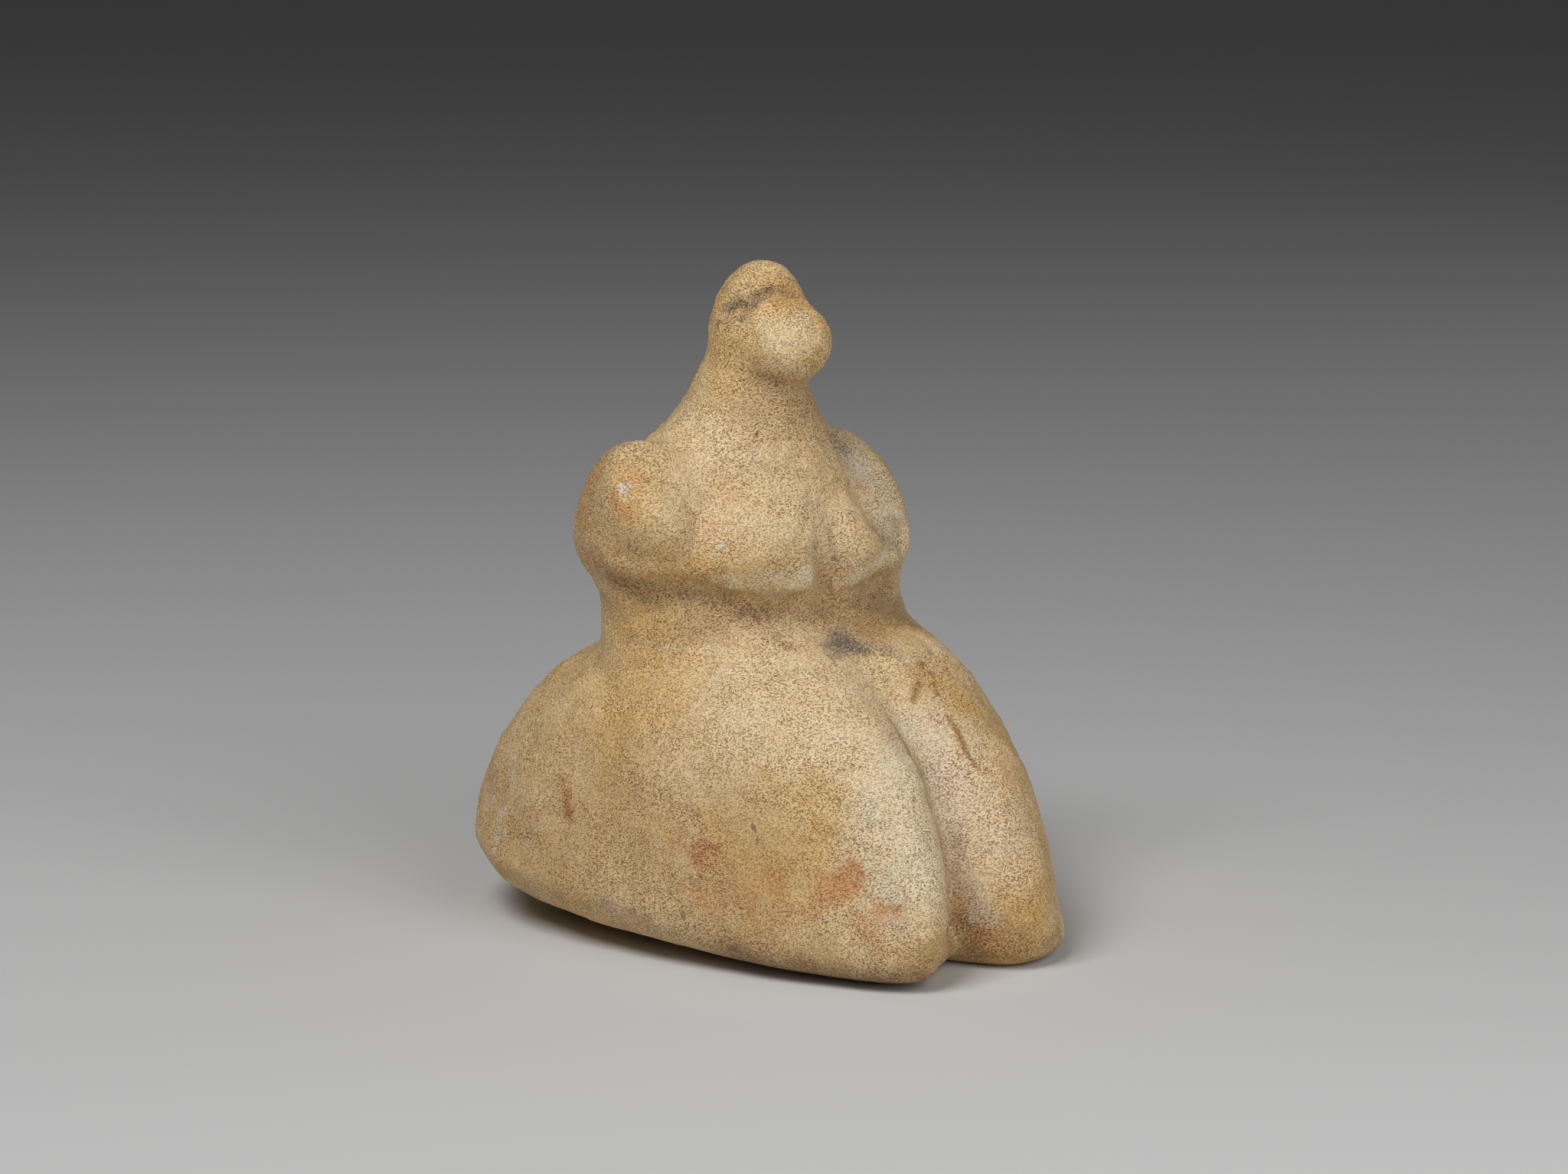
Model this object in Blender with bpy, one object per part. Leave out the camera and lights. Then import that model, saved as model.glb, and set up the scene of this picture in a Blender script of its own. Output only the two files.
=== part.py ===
"""Seated marble figurine, carved from one piece, with a flat underside.

The figure faces -Y, its own left is +X and its height runs along +Z. The origin is on the
underside, below the neck. Except for the height and the edge radius, every place and size
is in hundredths of the height of the block that the figure was carved from.
"""

import bmesh
import bpy
import numpy as np

# Real sizes, in metres
HEIGHT = 0.130
EDGE_RADIUS = 0.007

# Level of the crown, just under the top of the block
CROWN_LEVEL = 99.5

# Marble as seen on the chest, thighs and face
MARBLE_COLOUR = (0.53, 0.41, 0.25, 1.0)
MARBLE_ROUGHNESS = 0.42

# The blank is a sphere: its meridians run up the figure and its parallels go round it
MERIDIANS = 80
PARALLELS = 51
FRONT_CROWDING = 0.42

# The line inside the figure that the blank is worked from
SPINE_LEVELS = (0, 40, 60)
SPINE_SIDEWAYS = (2, 0, 0)
SPINE_FORWARD = (5, 3, 0)

# Shares of the way up the blank that reach each level, from the rounded edge to the head
EDGE_SHARE = 0.1
HEAD_SHARE = 0.85
BODY_SHARES = (0.15, 0.25, 0.36, 0.46, 0.63, 0.76)
BODY_LEVELS = (14, 28, 39, 47, 61, 75)
HEAD_LEVEL = 88

# Over the shoulders the blank is worked slantwise from above
SHOULDER_LEVELS = (48, 58, 66, 79)
SHOULDER_SLANT = 26

# Farthest that any mass reaches from the spine
REACH = 64
COARSE_STEPS = 40
FINE_STEPS = 18

# Lower body: two long masses, each a thigh in front that widens to a hip behind
RIGHT_THIGH = dict(centre=(-11.4, -6.6, 6.7), radii=(23.8, 45.5, 38.8), turn=(5.5, 6, 0.5),
                   power=2.1, under=9.6, taper=0.46)
LEFT_THIGH = dict(centre=(12.6, -5.7, 9.4), radii=(25.7, 47.8, 35.2), turn=(13, -6, -5.8),
                  power=2.1, under=18, taper=0.38)
BUTTOCKS = dict(centre=(-0.4, 13.7, 12.1), radii=(28.2, 23, 27), power=2.1, under=16)
BELLY = dict(centre=(5.5, -10, 29.9), radii=(22.2, 19, 15.1), turn=(20, 0, 0))
RIGHT_FOOT = dict(centre=(-5.7, -37.7, 2), radii=(7.5, 9.6, 6), power=2.3)
LEFT_FOOT = dict(centre=(11, -40, 0.6), radii=(9.3, 12, 7.8), power=2.5)
LEFT_TOE = dict(centre=(19.8, -40.5, 2), radii=(4.4, 4.9, 3.5))

# Trunk
WAIST = dict(centre=(1.5, 3.1, 46.7), radii=(26.2, 16.2, 20))
SHOULDERS = dict(centre=(-1.4, 1.8, 64.5), radii=(20.9, 10.8, 12), turn=(-8, 0, 0))
BACK = dict(centre=(-1.5, 5.8, 60), radii=(21, 9, 15))
RIGHT_FLANK = dict(centre=(-17.5, 4.4, 58.4), radii=(11, 11, 8))
LEFT_FLANK = dict(centre=(17.4, 1.6, 56.8), radii=(9.6, 11, 8.7))
CHEST = dict(start=(-0.5, 1.5, 61), end=(-1.4, 1.3, 79), start_radius=14.4, end_radius=7.3,
             depth=0.95)

# Arms, cut off short of the hands, and breasts
RIGHT_ARM = dict(centre=(-22, 1.4, 65.8), radii=(10.2, 8.9, 7.7), turn=(-90, 0, 90), power=2.1,
                 taper=0.38)
LEFT_ARM = dict(centre=(17.3, 4.2, 62.7), radii=(8.6, 12, 8.9), turn=(18, 0, 0), power=2.2)
RIGHT_BREAST = dict(centre=(-8.6, -8.6, 57), radii=(12, 7.6, 9), turn=(0, 5, -18), power=2.1,
                    under=4.6)
LEFT_BREAST = dict(start=(7, -10, 56.8), end=(19, -7.2, 55.2), start_radius=5.8,
                   end_radius=2.7)

# Neck and head
NECK = dict(start=(-1.2, 1.2, 74), end=(0.2, 0, 87), start_radius=8.2, end_radius=7.4)
HEAD = dict(centre=(0, -0.3, 88.6), radii=(7.6, 7.6, 10.9))
FACE = dict(centre=(0.2, -4.7, 87.2), radii=(7.2, 7.8, 7.1), power=2.1, under=5.8)

# Grooves
BROW_RIGHT = dict(start=(-7.4, -3.8, 92.6), end=(-4.6, -5.7, 95.9), start_radius=1,
                  end_radius=0.8)
BROW_LEFT = dict(start=(-4.6, -5.7, 95.9), end=(4.6, -7.6, 95), start_radius=0.8,
                 end_radius=0.7)
RIGHT_ARMPIT = dict(start=(-25, -4.4, 74.5), end=(-20, -11.6, 63.5), start_radius=1.5,
                    end_radius=0.6)
LEFT_ARMPIT = dict(start=(12.5, -6, 74), end=(13, -14, 64), start_radius=1.6, end_radius=0.8)
LEFT_BREAST_FOLD = dict(start=(11, -14.8, 61), end=(20, -10.8, 57), start_radius=0.6,
                        end_radius=1.6)
CLEAVAGE = dict(start=(-1.6, -17.4, 57.6), end=(1.8, -16.4, 50.6), start_radius=0.9,
                end_radius=2)


def turn_matrix(turn):
    """Rotation about X, then Y, then Z, by the three angles in degrees."""
    (cos_x, cos_y, cos_z), (sin_x, sin_y, sin_z) = np.cos(np.radians(turn)), np.sin(np.radians(turn))
    about_x = np.array([[1, 0, 0], [0, cos_x, -sin_x], [0, sin_x, cos_x]])
    about_y = np.array([[cos_y, 0, sin_y], [0, 1, 0], [-sin_y, 0, cos_y]])
    about_z = np.array([[cos_z, -sin_z, 0], [sin_z, cos_z, 0], [0, 0, 1]])
    return about_z @ about_y @ about_x


def swell(points, centre, radii, turn=(0, 0, 0), power=2.0, under=None, taper=0.0):
    """Distance outside an egg-shaped mass, negative within it.

    Its half below the centre is `under` deep, and its width grows towards +Y by `taper`.
    """
    local = (points - np.array(centre)) @ turn_matrix(turn)
    radius = np.broadcast_to(np.array(radii, float), local.shape).copy()
    if under is not None:
        radius[..., 2] = np.where(local[..., 2] < 0, under, radius[..., 2])
    radius[..., 0] *= 1 + taper * np.clip(local[..., 1] / radii[1], -1, 1)
    share = np.maximum(np.abs(local) / radius, 1e-6)
    size = (share**power).sum(-1) ** (1 / power)
    slope = size ** (1 - power) * np.sqrt(((share ** (power - 1) / radius) ** 2).sum(-1))
    return (size - 1) / slope


def bar(points, start, end, start_radius, end_radius, depth=1.0):
    """Distance outside a tapered round bar, negative within it; `depth` flattens it along Y."""
    along = np.array(end, float) - np.array(start, float)
    length = np.linalg.norm(along)
    offset = (points - np.array(start)) / np.array([1, depth, 1])
    run = offset @ along / length
    aside = np.sqrt(np.maximum((offset**2).sum(-1) - run**2, 0))
    taper = (start_radius - end_radius) / length
    share = np.clip((run - aside * taper / np.sqrt(1 - taper**2)) / length, 0, 1)
    gap = np.linalg.norm(offset - share[..., None] * along, axis=-1)
    return gap - start_radius - share * (end_radius - start_radius)


def joined(first, second, blend):
    """Both masses together, with a hollow fillet where they meet."""
    overlap = np.maximum(blend - np.abs(first - second), 0)
    return np.minimum(first, second) - overlap**2 / (4 * blend)


def cut(mass, tool, blend):
    """The mass with the tool taken out, and the rim of the cut worn round."""
    overlap = np.maximum(blend - np.abs(mass + tool), 0)
    return np.maximum(mass, -tool) + overlap**2 / (4 * blend)


# Each mass in the order it is joined, with the width of its blend
MASSES = (
    (swell, LEFT_THIGH, 3),
    (swell, BUTTOCKS, 12),
    (swell, BELLY, 8),
    (swell, WAIST, 5),
    (swell, SHOULDERS, 5),
    (swell, RIGHT_ARM, 3),
    (swell, LEFT_ARM, 4),
    (swell, RIGHT_BREAST, 1.8),
    (bar, LEFT_BREAST, 1.5),
    (bar, CHEST, 8),
    (bar, NECK, 5),
    (swell, HEAD, 2),
    (swell, FACE, 2),
    (swell, RIGHT_FLANK, 5),
    (swell, LEFT_FLANK, 5),
    (swell, BACK, 6),
    (swell, LEFT_FOOT, 3),
    (swell, LEFT_TOE, 2.5),
    (swell, RIGHT_FOOT, 3),
)
GROOVES = (
    (bar, BROW_RIGHT, 1.5),
    (bar, BROW_LEFT, 1.5),
    (bar, RIGHT_ARMPIT, 4),
    (bar, LEFT_ARMPIT, 4),
    (bar, LEFT_BREAST_FOLD, 3),
    (bar, CLEAVAGE, 3),
)


def figure(points):
    """Distance outside the carved figure before its lower edge is rounded."""
    distance = swell(points, **RIGHT_THIGH)
    for form, sizes, blend in MASSES:
        distance = joined(distance, form(points, **sizes), blend)
    for form, sizes, blend in GROOVES:
        distance = cut(distance, form(points, **sizes), blend)
    return distance


def edge_inset(level, radius):
    """How far a quarter-round edge draws the surface in at this level."""
    below = np.clip(1 - level / radius, 0, 1)
    return radius * (1 - np.sqrt(1 - below**2))


def working_lines(blank, first_share, edge_radius):
    """Start and direction of the line along which each point of the blank is worked."""
    share = 1 - np.arccos(np.clip(blank[:, 2], -1, 1)) / np.pi
    share = np.clip((share - first_share) / (1 - first_share), 0, 1)
    edge_level = edge_radius * (1 - np.cos(np.clip(share / EDGE_SHARE, 0, 1) * np.pi / 2))
    level = np.interp(
        share,
        (EDGE_SHARE, *BODY_SHARES, HEAD_SHARE),
        (edge_radius, *BODY_LEVELS, HEAD_LEVEL),
    )
    level = np.where(share < EDGE_SHARE, edge_level, level)
    lean = np.interp(level, SHOULDER_LEVELS, (0, 1, 1, 0))
    slant = np.radians(SHOULDER_SLANT) * lean**2 * (3 - 2 * lean)
    crown = np.clip((share - HEAD_SHARE) / (1 - HEAD_SHARE), 0, 1)
    rise = np.where(crown > 0, crown * np.pi / 2, slant)
    around = np.arctan2(blank[:, 0], -blank[:, 1])
    around = around - FRONT_CROWDING * np.sin(around)
    start = np.stack(
        [
            np.interp(level, SPINE_LEVELS, SPINE_SIDEWAYS),
            -np.interp(level, SPINE_LEVELS, SPINE_FORWARD),
            level,
        ],
        axis=-1,
    )
    direction = np.stack(
        [np.cos(rise) * np.sin(around), -np.cos(rise) * np.cos(around), np.sin(rise)], axis=-1
    )
    return start, direction


def carved(start, direction, edge_radius):
    """The outermost point of the figure along each working line."""
    inset = edge_inset(start[:, 2], edge_radius)

    def inside(distance):
        reached = start + direction * distance[:, None]
        return figure(reached) + inset < 0

    step = REACH / COARSE_STEPS
    solid = np.zeros(len(start))
    for distance in step * np.arange(1, COARSE_STEPS):
        solid = np.where(inside(np.full(len(start), distance)), distance, solid)
    clear = solid + step
    for _ in range(FINE_STEPS):
        middle = (solid + clear) / 2
        within = inside(middle)
        solid = np.where(within, middle, solid)
        clear = np.where(within, clear, middle)
    return start + direction * solid[:, None]


def marble():
    """Plain base colour of the stone."""
    material = bpy.data.materials.new("marble")
    material.use_nodes = True
    shader = material.node_tree.nodes["Principled BSDF"]
    shader.inputs["Base Color"].default_value = MARBLE_COLOUR
    shader.inputs["Roughness"].default_value = MARBLE_ROUGHNESS
    shader.inputs["Metallic"].default_value = 0.0
    return material


def figurine():
    """The sphere blank worked down to the figure, with its lowest ring flat on the ground."""
    unit = HEIGHT / CROWN_LEVEL
    mesh = bpy.data.meshes.new("figurine")
    blank = bmesh.new()
    bmesh.ops.create_uvsphere(blank, u_segments=MERIDIANS, v_segments=PARALLELS, radius=1.0)
    sphere = np.array([vertex.co[:] for vertex in blank.verts])
    start, direction = working_lines(sphere, 1 / PARALLELS, EDGE_RADIUS / unit)
    points = carved(start, direction, EDGE_RADIUS / unit)
    under_middle = np.argmin(sphere[:, 2])
    points[under_middle] = start[under_middle]
    for vertex, point in zip(blank.verts, points * unit):
        vertex.co = point
    blank.to_mesh(mesh)
    blank.free()
    mesh.shade_smooth()
    mesh.materials.append(marble())
    return bpy.data.objects.new("figurine", mesh)


def main():
    for old in list(bpy.data.objects):
        bpy.data.objects.remove(old, do_unlink=True)
    collection = bpy.data.collections.new("cycladic_figurine")
    bpy.context.scene.collection.children.link(collection)
    collection.objects.link(figurine())


main()
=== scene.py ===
"""Looks of a seated marble figurine: its carved surface, its marble and the studio round it.

Places and sizes on the figure are in hundredths of the height of the block it was carved
from. It faces -Y, its own left is +X, and its height runs along +Z.
"""

import bpy
import numpy as np
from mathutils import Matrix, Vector


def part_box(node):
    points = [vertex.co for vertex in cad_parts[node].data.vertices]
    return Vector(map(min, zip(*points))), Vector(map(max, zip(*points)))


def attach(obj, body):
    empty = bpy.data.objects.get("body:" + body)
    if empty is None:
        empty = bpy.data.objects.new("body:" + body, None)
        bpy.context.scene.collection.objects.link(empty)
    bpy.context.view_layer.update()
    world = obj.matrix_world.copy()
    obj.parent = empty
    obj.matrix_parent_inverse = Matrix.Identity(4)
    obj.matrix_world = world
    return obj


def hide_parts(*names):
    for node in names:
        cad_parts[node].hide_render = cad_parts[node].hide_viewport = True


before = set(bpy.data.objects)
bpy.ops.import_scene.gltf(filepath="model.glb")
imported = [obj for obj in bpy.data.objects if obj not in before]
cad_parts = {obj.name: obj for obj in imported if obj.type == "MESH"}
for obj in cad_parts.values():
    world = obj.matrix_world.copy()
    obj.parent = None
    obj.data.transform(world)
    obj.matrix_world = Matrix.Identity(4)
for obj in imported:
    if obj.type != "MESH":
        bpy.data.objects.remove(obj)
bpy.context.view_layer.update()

bl_info = {
    "name": "Seated marble figurine",
    "version": (1, 0, 0),
    "blender": (4, 5, 0),
    "location": "View3D > Sidebar > Figurine",
    "description": "Carves a seated marble figurine, finishes its stone and sets up its studio",
    "category": "Object",
}

LOW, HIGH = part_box("figurine")
HEIGHT = HIGH.z - LOW.z
CROWN_LEVEL = 99.5
UNIT = HEIGHT / CROWN_LEVEL

# The masses of the figure, in the order they are joined to the right thigh, each with the
# width of its blend
RIGHT_THIGH = dict(centre=(-11.4, -6.6, 6.7), radii=(23.8, 45.5, 38.8), turn=(5.5, 6, 0.5),
                   power=2.1, under=9.6, taper=0.46)
MASSES = {
    "left thigh": dict(centre=(12.6, -5.7, 9.4), radii=(25.7, 47.8, 35.2), turn=(13, -6, -5.8),
                       power=2.1, under=18, taper=0.38, blend=3),
    "buttocks": dict(centre=(-0.4, 13.7, 12.1), radii=(28.2, 23, 27), power=2.1, under=16,
                     blend=12),
    "belly": dict(centre=(5.5, -10, 29.9), radii=(22.2, 19, 15.1), turn=(20, 0, 0), blend=8),
    "waist": dict(centre=(1.5, 3.1, 46.7), radii=(26.2, 16.2, 20), blend=5),
    "shoulders": dict(centre=(-1.4, 1.8, 64.5), radii=(20.9, 10.8, 12), turn=(-8, 0, 0), blend=5),
    "right arm": dict(centre=(-22, 1.4, 65.8), radii=(10.2, 8.9, 7.7), turn=(-90, 0, 90),
                      power=2.1, taper=0.38, blend=3),
    "left arm": dict(centre=(17.3, 4.2, 62.7), radii=(8.6, 12, 8.9), turn=(18, 0, 0), power=2.2,
                     blend=4),
    "right breast": dict(centre=(-8.6, -8.6, 57), radii=(12, 7.6, 9), turn=(0, 5, -18),
                         power=2.1, under=4.6, blend=1.8),
    "left breast": dict(start=(7, -10, 56.8), end=(19, -7.2, 55.2), start_radius=5.8,
                        end_radius=2.7, blend=1.5),
    "chest": dict(start=(-0.5, 1.5, 61), end=(-1.4, 1.3, 79), start_radius=14.4, end_radius=7.3,
                  depth=0.95, blend=8),
    "neck": dict(start=(-1.2, 1.2, 74), end=(0.2, 0, 87), start_radius=8.2, end_radius=7.4,
                 blend=5),
    "head": dict(centre=(0, -0.3, 88.6), radii=(7.6, 7.6, 10.9), blend=2),
    "face": dict(centre=(0.2, -4.7, 87.2), radii=(7.2, 7.8, 7.1), power=2.1, under=5.8, blend=2),
    "right flank": dict(centre=(-17.5, 4.4, 58.4), radii=(11, 11, 8), blend=5),
    "left flank": dict(centre=(17.4, 1.6, 56.8), radii=(9.6, 11, 8.7), blend=5),
    "back": dict(centre=(-1.5, 5.8, 60), radii=(21, 9, 15), blend=6),
    "left foot": dict(centre=(11, -40, 0.6), radii=(9.3, 12, 7.8), power=2.5, blend=3),
    "left toe": dict(centre=(19.8, -40.5, 2), radii=(4.4, 4.9, 3.5), blend=2.5),
    "right foot": dict(centre=(-5.7, -37.7, 2), radii=(7.5, 9.6, 6), power=2.3, blend=3),
}

# The grooves cut into them, each with how far its rim is worn round
GROOVES = {
    "brow, right half": dict(start=(-7.4, -3.8, 92.6), end=(-4.6, -5.7, 95.9), start_radius=1,
                             end_radius=0.8, blend=1.5),
    "brow, left half": dict(start=(-4.6, -5.7, 95.9), end=(4.6, -7.6, 95), start_radius=0.8,
                            end_radius=0.7, blend=1.5),
    "right armpit": dict(start=(-25, -4.4, 74.5), end=(-20, -11.6, 63.5), start_radius=1.5,
                         end_radius=0.6, blend=4),
    "left armpit": dict(start=(12.5, -6, 74), end=(13, -14, 64), start_radius=1.6,
                        end_radius=0.8, blend=4),
    "fold over the left breast": dict(start=(11, -14.8, 61), end=(20, -10.8, 57),
                                      start_radius=0.6, end_radius=1.6, blend=3),
    "between the breasts": dict(start=(-1.6, -17.4, 57.6), end=(1.8, -16.4, 50.6),
                                start_radius=0.9, end_radius=2, blend=3),
}

# The line inside the figure that its surface is worked out from: places on it by level
SPINE_LEVELS = (0, 40, 60)
SPINE_SIDEWAYS = (2, 0, 0)
SPINE_FORWARD = (5, 3, 0)

# The working lines that leave the spine: the levels between which they slant up over the
# shoulders, by how many degrees, how far they crowd to the front, and their length
SHOULDER_LEVELS = (48, 58, 66, 79)
SHOULDER_SLANT = 26
FRONT_CROWDING = 0.42
REACH = 64

# How many even steps, and then how many halvings, find the surface on a working line
COARSE_STEPS = 32
FINE_STEPS = 14

# Shares of the way up the surface that reach each level
EDGE_SHARE = 0.07
HEAD_SHARE = 0.87
BODY_SHARES = (0.13, 0.24, 0.36, 0.46, 0.64, 0.77)
BODY_LEVELS = (14, 28, 39, 47, 61, 75)
HEAD_LEVEL = 88

# Small losses and cuts: the two ends of each, its width, and how deep it goes
DENTS = {
    "chip on the right arm": ((-28.2, -3.2, 68.8), (-28.4, -3.6, 67.4), 1.1, 0.3),
    "chip on the left shoulder": ((13.0, -5.0, 69.0), (15.8, -6.2, 66.6), 2.2, 0.4),
    "pit between the breasts": ((2.3, -15.2, 55.8), (2.3, -15.2, 55.6), 0.7, 0.2),
    "nick beside the right knee": ((-15.7, -48.8, 12.2), (-15.0, -49.2, 12.8), 0.5, 0.35),
    "nick over the left toe": ((13.6, -50.6, 10.6), (16.3, -48.9, 8.9), 0.8, 0.4),
    "chip at the left hip": ((12.4, -24.3, 41.3), (16.0, -21.6, 41.8), 0.6, 0.35),
    "scrape on the right hip": ((-35.8, 18.1, 18.1), (-36.7, 18.1, 11.4), 0.6, 0.15),
    "chip in the orange patch": ((-20, -42, 15.4), (-17.2, -47, 12.2), 2.0, 0.25),
    "flake under the right thigh": ((-34.5, -6.8, 7.2), (-33.0, -12.5, 6.0), 1.5, 0.3),
}

# Sharp creases, and edges raised by the carver, whose depth is negative: the places that each
# runs through, its width and its depth
FOLDS = {
    "under the right arm": (
        ((-27.5, 7, 53.8), (-26.9, -0.4, 53.6), (-23.3, -4.9, 53), (-18.5, -7.9, 51.8),
         (-13.1, -10.1, 49.6)), 1.5, 0.5,
    ),
    "under the breasts": (
        ((-13.1, -10.1, 49.6), (-8.2, -12.2, 48.8), (-1, -13.3, 49), (5.6, -13.5, 47),
         (12.5, -11.7, 48.2), (19.9, -9, 49.4)), 1.5, 0.5,
    ),
    "edge of the right arm": (
        ((-28, 0, 57), (-25, -4.5, 56.4), (-21, -7.8, 56), (-17.5, -9.8, 54.6)), 1.5, -0.7,
    ),
    "edge of the right breast": (
        ((-15, -11.6, 53.8), (-11.5, -13.6, 52.2), (-7.5, -14.8, 52), (-3.6, -15.2, 52.8)),
        1.6, -1,
    ),
    "edge of the left breast": (
        ((4.5, -13.9, 51.4), (8, -14.1, 51.4), (12.5, -13, 52.8), (17, -11.2, 53.8)), 1.5, -0.9,
    ),
    "beside the right arm": (
        ((-22.3, -1.1, 73.7), (-21.2, -5, 70.2), (-19.4, -8.1, 65.3), (-18, -9.5, 61.3),
         (-17.8, -10.4, 58)), 1.2, 0.4,
    ),
    "beside the left arm": (
        ((12.1, -2, 73.7), (10.9, -6.1, 70.2), (10.2, -9.6, 66.2), (10.4, -12.6, 61.5),
         (16.3, -10.8, 57.4)), 1.1, 0.22,
    ),
    "between the breasts": (((-2.2, -16.1, 57.6), (1.3, -13.8, 53.3), (2.2, -13, 50.8)), 1.2, 0.4),
    "across the brow": (
        ((-6.8, -1.7, 92.8), (-5, -4, 94.2), (-2.2, -5, 95.6), (2.4, -5.8, 95.1)), 0.8, 0.45,
    ),
}

# Tints of the marks on the stone, in screen colours, the broad ones first
TINTS = {
    "tan": (196, 158, 104),
    "pale": (250, 234, 198),
    "chalk": (240, 224, 198),
    "brown": (158, 122, 78),
    "olive": (212, 172, 96),
    "orange": (214, 144, 74),
    "mauve": (168, 128, 98),
    "calcite": (226, 212, 192),
    "golden": (172, 126, 60),
    "rust": (186, 120, 64),
    "soot": (96, 92, 94),
    "stain": (112, 92, 82),
    "white": (240, 230, 206),
    "black": (66, 54, 42),
}

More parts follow.
